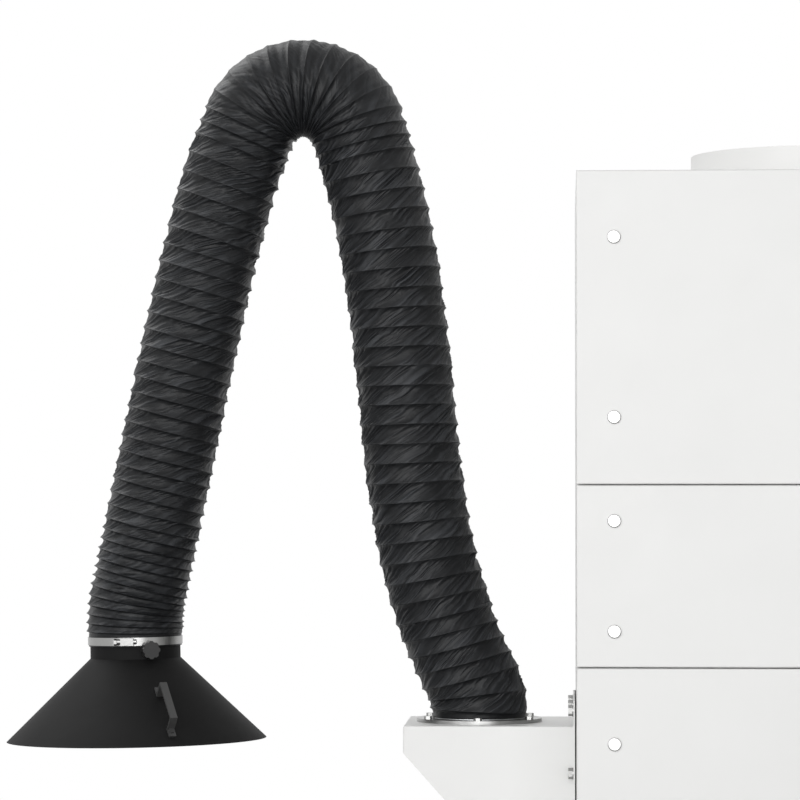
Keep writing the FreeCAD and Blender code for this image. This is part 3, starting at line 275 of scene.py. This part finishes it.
def knob_on_spindle(name, centre, axis, split):
    """Black knob in front and plated spindle behind, parted by the distance along the axis."""
    n = Nodes(name)
    away = n.add("ShaderNodeVectorMath")
    away.operation = "SUBTRACT"
    n.link(n.coord, away.inputs[0])
    away.inputs[1].default_value = centre
    along = n.add("ShaderNodeVectorMath")
    along.operation = "DOT_PRODUCT"
    n.link(away.outputs[0], along.inputs[0])
    along.inputs[1].default_value = axis
    knob = n.math("GREATER_THAN", along.outputs["Value"], split)
    grain = n.noise(80.0, 3.0)
    black = n.mix(n.scaled(grain, 0.0, 1.0), (0.010, 0.010, 0.010), (0.020, 0.020, 0.020))
    steel = n.mix(n.scaled(grain, 0.0, 1.0), (0.50, 0.50, 0.49), (0.68, 0.68, 0.67))
    n.colour(n.mix(knob, steel, black))
    n.link(n.math("SUBTRACT", 1.0, knob), n.bsdf.inputs["Metallic"])
    n.roughness(n.scaled(grain, 0.30, 0.42))
    n.normal(n.bump(n.noise(900.0, 2.0), 0.12, 0.0003))
    return n.mat


# Colour of the cabinet, and where the knob starts on the damper's spindle, in m from the pivot
WHITE = (0.815, 0.815, 0.805)
KNOB_START = 0.066


def joint(name):
    return next(j for j in frame["joints"] if j["name"] == name)


def dress_nodes():
    """Gives every CAD node the material of its slot."""
    spindle = joint("damper_turn")
    finishes = {
        "white_paint": powder_coat("white_powder_coat", WHITE, 0.40),
        "black_paint": satin_black("satin_black"),
        "motor_paint": powder_coat("motor_paint", (0.16, 0.18, 0.20), 0.38, 0.2),
        "zinc_sheet": galvanised("zinc_sheet", (0.62, 0.63, 0.64), 0.36),
        "bright_steel": plated("bright_steel", (0.36, 0.36, 0.355), 0.28),
        "handle_steel": plastic("handle_coating", (0.046, 0.046, 0.046), 0.46, 0.35),
        "lock_steel": plated("lock_chrome", (0.50, 0.50, 0.495), 0.28, (200.0, 200.0, 200.0)),
        "hose_cloth": hose_cloth("hose_cloth"),
        "filter_media": filter_medium("filter_media"),
        "seal_rubber": rubber("seal_rubber"),
        "black_plastic": plastic("black_plastic", (0.022, 0.022, 0.022), 0.46),
        "knob_plastic": knob_on_spindle("knob_plastic", spindle["pos_m"], spindle["axis"], KNOB_START),
        "grey_plastic": plastic("grey_plastic", (0.46, 0.47, 0.47), 0.42),
        "green_plastic": plastic("green_plastic", (0.012, 0.24, 0.055), 0.25, 0.05),
        "red_plastic": plastic("red_plastic", (0.52, 0.014, 0.012), 0.25, 0.05),
        "friction_plastic": plastic("friction_plastic", (0.20, 0.13, 0.08), 0.6),
    }
    for sub in frame["record"]["subparts"]:
        mesh = frame["nodes"][sub["node"]].data
        mesh.materials.clear()
        mesh.materials.append(finishes[sub["material_slot"]])
    return finishes


# Hose: the route of its centreline, in mm in the XZ plane, and its ribs
SWIVEL = (-468.8, 617.0)
HOSE_START = 6.0          # above the inlet box
STUB = 10.0
BASE_LEAN, BASE_BEND = 27.0, 85.0
LOWER_REACH, LOWER_RISE, LOWER_LEAN = 169.5, 824.5, 18.0
LOWER_HANDLES = (270.0, 324.0)
ELBOW_BEND, OUTER_LEAN = 79.0, 24.0
OUTER_REACH, OUTER_RISE, OUTER_END_LEAN = 473.2, 179.1, 12.0
OUTER_HANDLES = (143.0, 275.0)
WRIST_BEND, HOOD_LEAN, ON_HOOD = 242.0, 1.0, 21.0
BASE_LEN, ELBOW_EXTRA, WRIST_LEN = 150.0, 45.0, 165.0
WRIST_CUFF = 19.0
WRIST_PIVOT = 81.0        # from the hose's end back to the roll axis of the hood
HELD_AT_RING = 12.0       # length at the ring end, given to bend_along as the start of the base piece's zone
HELD_AT_HOOD = 24.0       # length at the hood end, given to bend_along to end the hood piece's zone
LINE_STEPS, ARC_STEPS, CURVE_STEPS = 60, 400, 1200

# Ribs of each length, and its last pitch as a share of its first
RIB_COUNT = {
    "base": (6, 1.0),
    "lower": (24, 1.0),
    "elbow": (16, 1.0),
    "outer": (24, 0.68),
    "wrist": (12, 0.6),
}
SPARE_RIBS = 5            # ribs past both ends, which the slanting rows need
RING_SHARE = 0.65         # share of the hose's lean that the lowest rings take up
RING_SETTLE = 240.0       # length over which they take up the rest
CUFF_R = 64.4
BORE_R = 62.65
MID_R = 66.0
PEAK_R = 68.3
WALL = 0.25               # least thickness of the cloth

# Cloth between the wires: how deep it hangs, and the heights of its folds, pleats and lumps
BEND_FADE = 60.0          # length past the base over which bends begin to show in the cloth
SLACK_PITCH = 12.0        # pitch from which the cloth hangs slack
HANG_DEPTH, HANG_EXTRA = 4.3, 0.8
FOLD_HEIGHT, PLEAT_HEIGHT, LUMP_HEIGHT = 2.6, 1.3, 0.3
CUFF_FADE = 9.0           # length over which the cloth leaves a cuff
RING_CUFF = 4.0           # plain length at the ring
HOOD_OVERLAP = 5.0        # length of the hood's cuff that the folds run out on

# Mesh of the hose
COLUMNS = 288
INNER_STEP = 40.0         # spacing of the rings inside a straight length
INNER_STEP_BENT = 8.0     # and inside a length that bends
SNAP = 0.15               # points as near to an end as this join its ring
FOLD_SLANT = 0.62         # turn of the folds round the hose from one wire to the next
GRID_SHARE = 1 - FOLD_SLANT / (2 * math.pi)
# Rows from one wire to the next, as shares of the pitch
ROW_PLACES = (0.0, 0.03, 0.08, 0.16, 0.26, 0.36, 0.47, 0.58, 0.69, 0.80, 0.90, 0.965)


def heading(lean, up):
    """Direction that leans to the left by degrees, going up for 1 and down for -1."""
    a = math.radians(lean)
    return np.array([-math.sin(a), up * math.cos(a)])


def route_line(start, end):
    t = np.linspace(0, 1, LINE_STEPS)[:, None]
    return start + t * (end - start)


def route_arc(start, along, radius, turn):
    left = np.array([-along[1], along[0]])
    a = np.radians(np.linspace(0, turn, ARC_STEPS))[:, None]
    return start + left * radius * (1 - np.cos(a)) + along * radius * np.sin(a)


def route_bezier(start, d0, end, d1, handles):
    t = np.linspace(0, 1, CURVE_STEPS)[:, None]
    p1 = start + d0 * handles[0]
    p2 = end - d1 * handles[1]
    return (1 - t) ** 3 * start + 3 * t * (1 - t) ** 2 * p1 + 3 * t ** 2 * (1 - t) * p2 + t ** 3 * end


def ease(x):
    """Smooth step from 0 to 1."""
    t = np.clip(x, 0, 1)
    return t * t * (3 - 2 * t)


class Route:
    """Centreline of the hose in the XZ plane, by length in mm."""

    def __init__(self):
        axis = np.array(SWIVEL)
        foot = axis + (0, HOSE_START)
        runs = [route_line(foot, foot + (0, STUB))]
        runs.append(route_arc(runs[-1][-1], heading(0, 1), BASE_BEND, BASE_LEAN))
        end = axis + (-LOWER_REACH, LOWER_RISE)
        lean_up = heading(LOWER_LEAN, 1)
        runs.append(route_bezier(runs[-1][-1], heading(BASE_LEAN, 1), end, lean_up, LOWER_HANDLES))
        runs.append(route_arc(end, lean_up, ELBOW_BEND, 180 - LOWER_LEAN - OUTER_LEAN))
        end = axis + (-OUTER_REACH, OUTER_RISE)
        down = heading(OUTER_END_LEAN, -1)
        runs.append(route_bezier(runs[-1][-1], heading(OUTER_LEAN, -1), end, down, OUTER_HANDLES))
        runs.append(route_arc(end, down, WRIST_BEND, OUTER_END_LEAN + HOOD_LEAN))
        runs.append(route_line(runs[-1][-1], runs[-1][-1] + heading(-HOOD_LEAN, -1) * ON_HOOD))
        lengths = [np.hypot(*np.diff(r, axis=0).T).sum() for r in runs]
        points = np.vstack([runs[0]] + [r[1:] for r in runs[1:]])
        self.at = np.concatenate([[0], np.cumsum(np.hypot(*np.diff(points, axis=0).T))])
        self.points = points
        along = np.gradient(points, self.at, axis=0)
        turn = np.unwrap(np.arctan2(along[:, 1], along[:, 0]))
        share = RING_SHARE + (1 - RING_SHARE) * ease(self.at / RING_SETTLE)
        self.turn = math.pi / 2 + (turn - math.pi / 2) * share
        self.curve = np.gradient(self.turn, self.at)
        self.total = self.at[-1]
        bend = sum(lengths[:3])
        self.marks = [0, BASE_LEN, bend - ELBOW_EXTRA, bend + lengths[3] + ELBOW_EXTRA,
                      self.total - WRIST_LEN, self.total]

    def sample(self, s):
        """Place, direction and curvature at lengths along the hose."""
        x = np.interp(s, self.at, self.points[:, 0])
        z = np.interp(s, self.at, self.points[:, 1])
        turn = np.interp(s, self.at, self.turn)
        return x, z, np.cos(turn), np.sin(turn), np.interp(s, self.at, self.curve)


def lattice(i, seed):
    """Repeatable number from 0 to 1 for each whole number."""
    x = np.sin(i * 12.9898 + seed * 78.233) * 43758.5453
    return x - np.floor(x)


def wander(x, seed):
    """Smooth one-dimensional noise from -1 to 1."""
    i = np.floor(x)
    f = x - i
    f = f * f * (3 - 2 * f)
    return 2 * (lattice(i, seed) * (1 - f) + lattice(i + 1, seed) * f) - 1


class HoseSkin:
    """Spiral-wire cloth hose round the route."""

    def __init__(self, route):
        self.route = route
        places, counts = [], []
        done = 0
        for (name, (count, ratio)), s0, s1 in zip(RIB_COUNT.items(), route.marks, route.marks[1:]):
            a = s0 + (STUB if name == "base" else 0)
            b = s1 - (WRIST_CUFF if name == "wrist" else 0)
            steps = 1 + (ratio - 1) * (np.arange(count) + 0.5) / count
            edges = np.concatenate([[0], np.cumsum(steps)]) / steps.sum()
            first = 0 if not places else 1
            places += list(a + (b - a) * edges[first:])
            counts += list(done + np.arange(count + 1)[first:])
            done += count
        pitch0 = places[1] - places[0]
        pitch1 = places[-1] - places[-2]
        for _ in range(SPARE_RIBS):
            places.insert(0, places[0] - pitch0)
            counts.insert(0, counts[0] - 1)
            places.append(places[-1] + pitch1)
            counts.append(counts[-1] + 1)
        self.places = np.array(places)
        self.counts = np.array(counts, float)
        self.pitch = np.gradient(self.places, self.counts)

    def count_at(self, s):
        return np.interp(s, self.places, self.counts)

    def place_at(self, n):
        return np.interp(n, self.counts, self.places)

    def radius(self, s, phi):
        """Outside radius in mm, and painted sheen from 0 to 1, a painted light that lightens the cloth's colour.

        phi is 0 at the front and 90 degrees on the outside of the bends.
        """
        h = self.count_at(s) + phi / (2 * math.pi)
        k = np.floor(h)
        f = h - k
        u = phi - 2 * math.pi * k
        pitch = np.interp(s, self.places, self.pitch)
        _, _, _, rise, curve = self.route.sample(s)
        settled = ease((s - BASE_LEN) / BEND_FADE)
        local = pitch * np.clip(1 + MID_R * curve * np.sin(phi), 0.05, 3)
        slack = np.clip(local / SLACK_PITCH, 0.12, 1.0)
        taut = np.clip((local / pitch - 1.1) / 0.7, 0, 1) * settled
        bent = np.clip(MID_R * np.abs(curve), 0, 1) * settled

        # The cloth hangs in from the upper wire and runs out gently to the lower one
        deepest = 0.5 + 0.22 * rise
        t = np.where(f < deepest, 0.5 * f / deepest, 0.5 + 0.5 * (f - deepest) / (1 - deepest))
        hang = (4 * t * (1 - t)) ** 0.8
        close = np.clip((20 - pitch) / 8, 0, 1)
        depth = (HANG_DEPTH + HANG_EXTRA * close) * slack * (1 - 0.55 * taut)
        sag = 1 + 0.18 * wander(u * 1.3, 3)

        # Slanting folds between the wires, and radial pleats in the elbow
        slant = FOLD_SLANT * np.clip(pitch / 26, 0.2, 1.2)
        wave = u - slant * (f - 0.5) + 0.05 * wander(u * 3.3 + 2.0 * f, 4)
        ridge = 1 - np.abs(wander(wave * 10.5, 5))
        fine = 1 - np.abs(wander(wave * 16.5, 7))
        crest = 1.25 * ridge ** 2.2 + 0.3 * fine ** 2 - 0.58
        swell = np.clip(0.8 + 0.45 * wander(u * 2.9, 13) + 0.3 * wander(u * 5.7 + f, 17), 0.2, 1.5)
        env = np.clip(4 * f * (1 - f), 0, 1) ** 0.55
        fold = FOLD_HEIGHT * env * slack * np.clip(pitch / 24, 0.3, 1.1) * swell * crest
        fold *= 1 - 0.8 * bent
        ripple = 2 * f + 0.5 * wander(u * 1.7, 29) + 0.2 * wander(u * 5.3, 30)
        pleat = np.sin(2 * math.pi * ripple) * bent * (1 - 0.4 * np.sin(phi))
        pleat *= (0.7 + 0.5 * wander(u * 5.0, 31)) * env * np.clip(local / 6, 0.15, 1)
        lumps = LUMP_HEIGHT * wander(u * 3.1, 19)
        r = PEAK_R - depth * sag * hang + fold + PLEAT_HEIGHT * pleat + lumps

        # Painted sheen on the crests of the folds, made stronger toward the lower wire of each cell, where the
        # cloth faces up, as painted light, and painted highlights on the pleats of the elbow
        below = 0.5 - (f - 0.5) * rise
        sheen_paint = 0.08 + 0.85 * ridge ** 3 + 0.3 * fine ** 4
        painted_sheen = sheen_paint * swell * (0.25 + 0.95 * below) * (1 - 0.6 * bent)
        painted_sheen += 0.5 * bent * np.clip(pleat, 0, 1)

        # Plain cuffs on the ring and on the hood
        start = np.clip((s - RING_CUFF) / CUFF_FADE, 0, 1)
        end = np.clip((self.route.total - WRIST_CUFF + HOOD_OVERLAP - s) / CUFF_FADE, 0, 1)
        share = ease(start * end)
        cuff = CUFF_R + 0.25 * wander(u * 4.0, 23)
        r = np.maximum(cuff + (r - cuff) * share, BORE_R + WALL)
        return r, np.clip(painted_sheen, 0, 1) * share

    def points(self, s, phi, r):
        """Points in metres from the length, the angle and the radius."""
        x, z, tx, tz, _ = self.route.sample(s)
        across = r * np.sin(phi)
        return np.stack([x + across * tz, -r * np.cos(phi), z - across * tx], -1) * MM

    def piece(self, name, s0, s1, bends):
        """Closed mesh of the hose between two lengths, with the place along the hose of every vertex.

        The rows follow the spiral wire and the columns follow the slant of the folds.
        """
        n_low = math.floor(self.count_at(s0) / GRID_SHARE) - 2
        n_high = math.ceil(self.count_at(s1) / GRID_SHARE) + 2
        phase = (np.arange(n_low, n_high)[:, None] + np.array(ROW_PLACES)[None, :]).ravel()
        column = -math.pi + 2 * math.pi * np.arange(COLUMNS) / COLUMNS
        rows = len(phase)
        per_rib = len(ROW_PLACES)
        phi = GRID_SHARE * column[None, :] + FOLD_SLANT * phase[:, None]
        s = self.place_at(phase[:, None] - phi / (2 * math.pi))
        index = np.arange(rows * COLUMNS).reshape(rows, COLUMNS)
        low_ring = rows * COLUMNS + np.arange(COLUMNS)
        high_ring = low_ring + COLUMNS
        index = np.where(s <= s0 + SNAP, low_ring[None, :], index)
        index = np.where(s >= s1 - SNAP, high_ring[None, :], index)
        all_s = np.concatenate([s.ravel(), np.full(COLUMNS, s0), np.full(COLUMNS, s1)])
        steps = max(2, int((s1 - s0) / (INNER_STEP_BENT if bends else INNER_STEP)))
        inner_s = np.linspace(s0, s1, steps + 1)
        inner_phi = column[None, :] + FOLD_SLANT / GRID_SHARE * self.count_at(inner_s)[:, None]
        all_phi = np.concatenate([phi.ravel(), inner_phi[0], inner_phi[-1]])
        inner_s = np.repeat(inner_s, COLUMNS)
        inner_phi = inner_phi.ravel()
        radius, painted_sheen = self.radius(all_s, all_phi)
        radius = np.concatenate([radius, np.full(len(inner_s), BORE_R)])
        painted_sheen = np.concatenate([painted_sheen, np.zeros(len(inner_s))])
        all_s = np.concatenate([all_s, inner_s])
        all_phi = np.concatenate([all_phi, inner_phi])
        inner = np.arange(len(inner_s)).reshape(steps + 1, COLUMNS) + len(all_s) - len(inner_s)

        faces = []

        def strip(a, b, c, d):
            for quad in np.stack([a, b, c, d], -1).reshape(-1, 4).tolist():
                face = [v for i, v in enumerate(quad) if v != quad[i - 1]]
                if len(set(face)) == len(face) and len(face) > 2:
                    faces.append(face)

        strip(index[:-1, :-1], index[:-1, 1:], index[1:, 1:], index[1:, :-1])
        last = slice(per_rib, rows - 1)
        back = slice(0, rows - 1 - per_rib)
        ahead = slice(per_rib + 1, rows)
        strip(index[last, -1], index[back, 0], index[1:rows - per_rib, 0], index[ahead, -1])
        turned = np.roll(inner, -1, axis=1)
        strip(inner[:-1], inner[1:], turned[1:], turned[:-1])
        strip(low_ring, inner[0], turned[0], np.roll(low_ring, -1))
        strip(inner[-1], high_ring, np.roll(high_ring, -1), turned[-1])

        used = np.zeros(len(all_s), bool)
        for face in faces:
            used[face] = True
        renumber = np.cumsum(used) - 1
        faces = [[int(renumber[v]) for v in face] for face in faces]
        co = self.points(all_s, all_phi, radius)[used]
        mesh = bpy.data.meshes.new(name)
        mesh.from_pydata(co.tolist(), [], faces)
        mesh.update()
        mesh.polygons.foreach_set("use_smooth", np.ones(len(mesh.polygons), bool))
        # Painted sheen and painted light of the cloth, stored per vertex for its material to lighten the colour
        sheen_paint = mesh.attributes.new("painted_sheen", "FLOAT", "POINT")
        sheen_paint.data.foreach_set("value", painted_sheen[used].astype(np.float32))
        obj = bpy.data.objects.new(name, mesh)
        bpy.context.scene.collection.objects.link(obj)
        return obj, all_s[used]


def bend_along(obj, a, b, places, s0, s1, route):
    """Bakes the transform of a hose piece into its mesh; it does not bend the piece between the two bodies."""
    for s in (s0, s1):
        x, z, *_ = route.sample(np.array([s]))
    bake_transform(obj)


def make_hose(cloth):
    """Builds the hose in six lengths; the two straight ones go with their arm bodies and the other four are not
    attached to any body.
    """
    route = Route()
    skin = HoseSkin(route)
    base, lower, elbow, outer, wrist, end = route.marks
    pivot = end - WRIST_PIVOT
    plan = [
        ("hose_base_cloth", base, lower, ("hose_base",), ("swivel", "lower_arm"), (HELD_AT_RING, lower)),
        ("hose_lower_cloth", lower, elbow, ("hose_lower",), ("lower_arm",), None),
        ("hose_elbow_cloth", elbow, outer, ("hose_elbow",), ("lower_arm", "outer_arm"), (elbow, outer)),
        ("hose_outer_cloth", outer, wrist, ("hose_outer",), ("outer_arm",), None),
        ("hose_wrist_cloth", wrist, pivot, ("hose_wrist",), ("outer_arm", "wrist"), (wrist, pivot)),
        ("hose_hood_cloth", pivot, end, ("hose_wrist",), ("wrist", "hood"), (pivot, end - HELD_AT_HOOD)),
    ]
    for name, s0, s1, nodes, bodies, zone in plan:
        obj, places = skin.piece(name, s0, s1, bool(zone))
        obj.data.materials.append(cloth)
        if zone:
            bend_along(obj, *bodies, places, *zone, route)
        else:
            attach(obj, bodies[0])
        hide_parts(*nodes)


# Floor and light
FLOOR_R = 5.6
FLOOR_SIDES = 96
FLOOR_Z = -0.0005         # just under the feet
SHADOW_R = 1.6            # from here the floor turns white
WHITE_R = 4.2             # and from here it is all white
WORLD_LIGHT = 0.22

# Lamps: name, place, aim, size and watts
LAMPS = (
    ("key", (-3.2, -7.2, 3.0), (-0.4, 0.0, 0.8), (7.2, 5.0), 346),
    ("fill", (0.5, -7.5, 1.0), (-0.3, 0.0, 0.65), (4.2, 2.8), 118),
    ("upper_left", (-2.3, 0.8, 3.2), (-0.95, 0.0, 0.65), (2.6, 1.8), 38),
)


def make_floor():
    """Pale floor that keeps the shadow near the object and turns white further out."""
    mesh = bpy.data.meshes.new("floor")
    corners = []
    for i in range(FLOOR_SIDES):
        a = 2 * math.pi * i / FLOOR_SIDES
        corners.append((FLOOR_R * math.cos(a), FLOOR_R * math.sin(a), FLOOR_Z))
    mesh.from_pydata(corners, [], [list(range(FLOOR_SIDES))])
    floor = bpy.data.objects.new("floor", mesh)
    bpy.context.scene.collection.objects.link(floor)
    n = Nodes("floor")
    n.set(Roughness=0.9)
    n.colour(n.mix(n.scaled(n.noise(2.0, 3.0), 0.0, 1.0), (0.66, 0.66, 0.66), (0.70, 0.70, 0.70)))
    glow = n.add("ShaderNodeEmission", Strength=1.0)
    away = n.add("ShaderNodeVectorMath")
    away.operation = "LENGTH"
    n.link(n.coord, away.inputs[0])
    far = n.add("ShaderNodeMapRange")
    far.inputs["From Min"].default_value = SHADOW_R
    far.inputs["From Max"].default_value = WHITE_R
    n.link(away.outputs["Value"], far.inputs["Value"])
    path = n.add("ShaderNodeLightPath")
    seen = n.math("MAXIMUM", path.outputs["Is Camera Ray"], path.outputs["Is Glossy Ray"])
    seen = n.math("MAXIMUM", seen, path.outputs["Is Transmission Ray"])
    blend = n.add("ShaderNodeMixShader")
    n.link(n.math("MULTIPLY", far.outputs[0], seen), blend.inputs[0])
    n.link(n.bsdf.outputs[0], blend.inputs[1])
    n.link(glow.outputs[0], blend.inputs[2])
    n.link(blend.outputs[0], n.out.inputs["Surface"])
    mesh.materials.append(n.mat)


def make_world():
    """White where it is looked at or mirrored, and dim as a light."""
    world = bpy.data.worlds.new("studio")
    bpy.context.scene.world = world
    world.use_nodes = True
    tree = world.node_tree
    tree.nodes.clear()
    out = tree.nodes.new("ShaderNodeOutputWorld")
    room = tree.nodes.new("ShaderNodeBackground")
    room.inputs["Color"].default_value = (1, 1, 1, 1)
    room.inputs["Strength"].default_value = WORLD_LIGHT
    seen = tree.nodes.new("ShaderNodeBackground")
    seen.inputs["Color"].default_value = (1, 1, 1, 1)
    seen.inputs["Strength"].default_value = 1.0
    path = tree.nodes.new("ShaderNodeLightPath")
    looked_at = path.outputs["Is Camera Ray"]
    for ray in ("Is Glossy Ray", "Is Transmission Ray"):
        either = tree.nodes.new("ShaderNodeMath")
        either.operation = "MAXIMUM"
        tree.links.new(looked_at, either.inputs[0])
        tree.links.new(path.outputs[ray], either.inputs[1])
        looked_at = either.outputs[0]
    mix = tree.nodes.new("ShaderNodeMixShader")
    tree.links.new(looked_at, mix.inputs[0])
    tree.links.new(room.outputs[0], mix.inputs[1])
    tree.links.new(seen.outputs[0], mix.inputs[2])
    tree.links.new(mix.outputs[0], out.inputs["Surface"])


def make_light(name, at, aim, size, watts):
    data = bpy.data.lights.new(name, "AREA")
    data.shape = "RECTANGLE"
    data.size, data.size_y = size
    data.energy = watts
    lamp = bpy.data.objects.new(name, data)
    lamp.location = at
    lamp.rotation_mode = "QUATERNION"
    lamp.rotation_quaternion = (Vector(aim) - Vector(at)).to_track_quat("-Z", "Y")
    bpy.context.scene.collection.objects.link(lamp)


make_camera()
finishes = dress_nodes()
make_hose(finishes["hose_cloth"])
make_floor()
make_world()
for lamp in LAMPS:
    make_light(*lamp)
bpy.context.scene.view_settings.view_transform = "Standard"
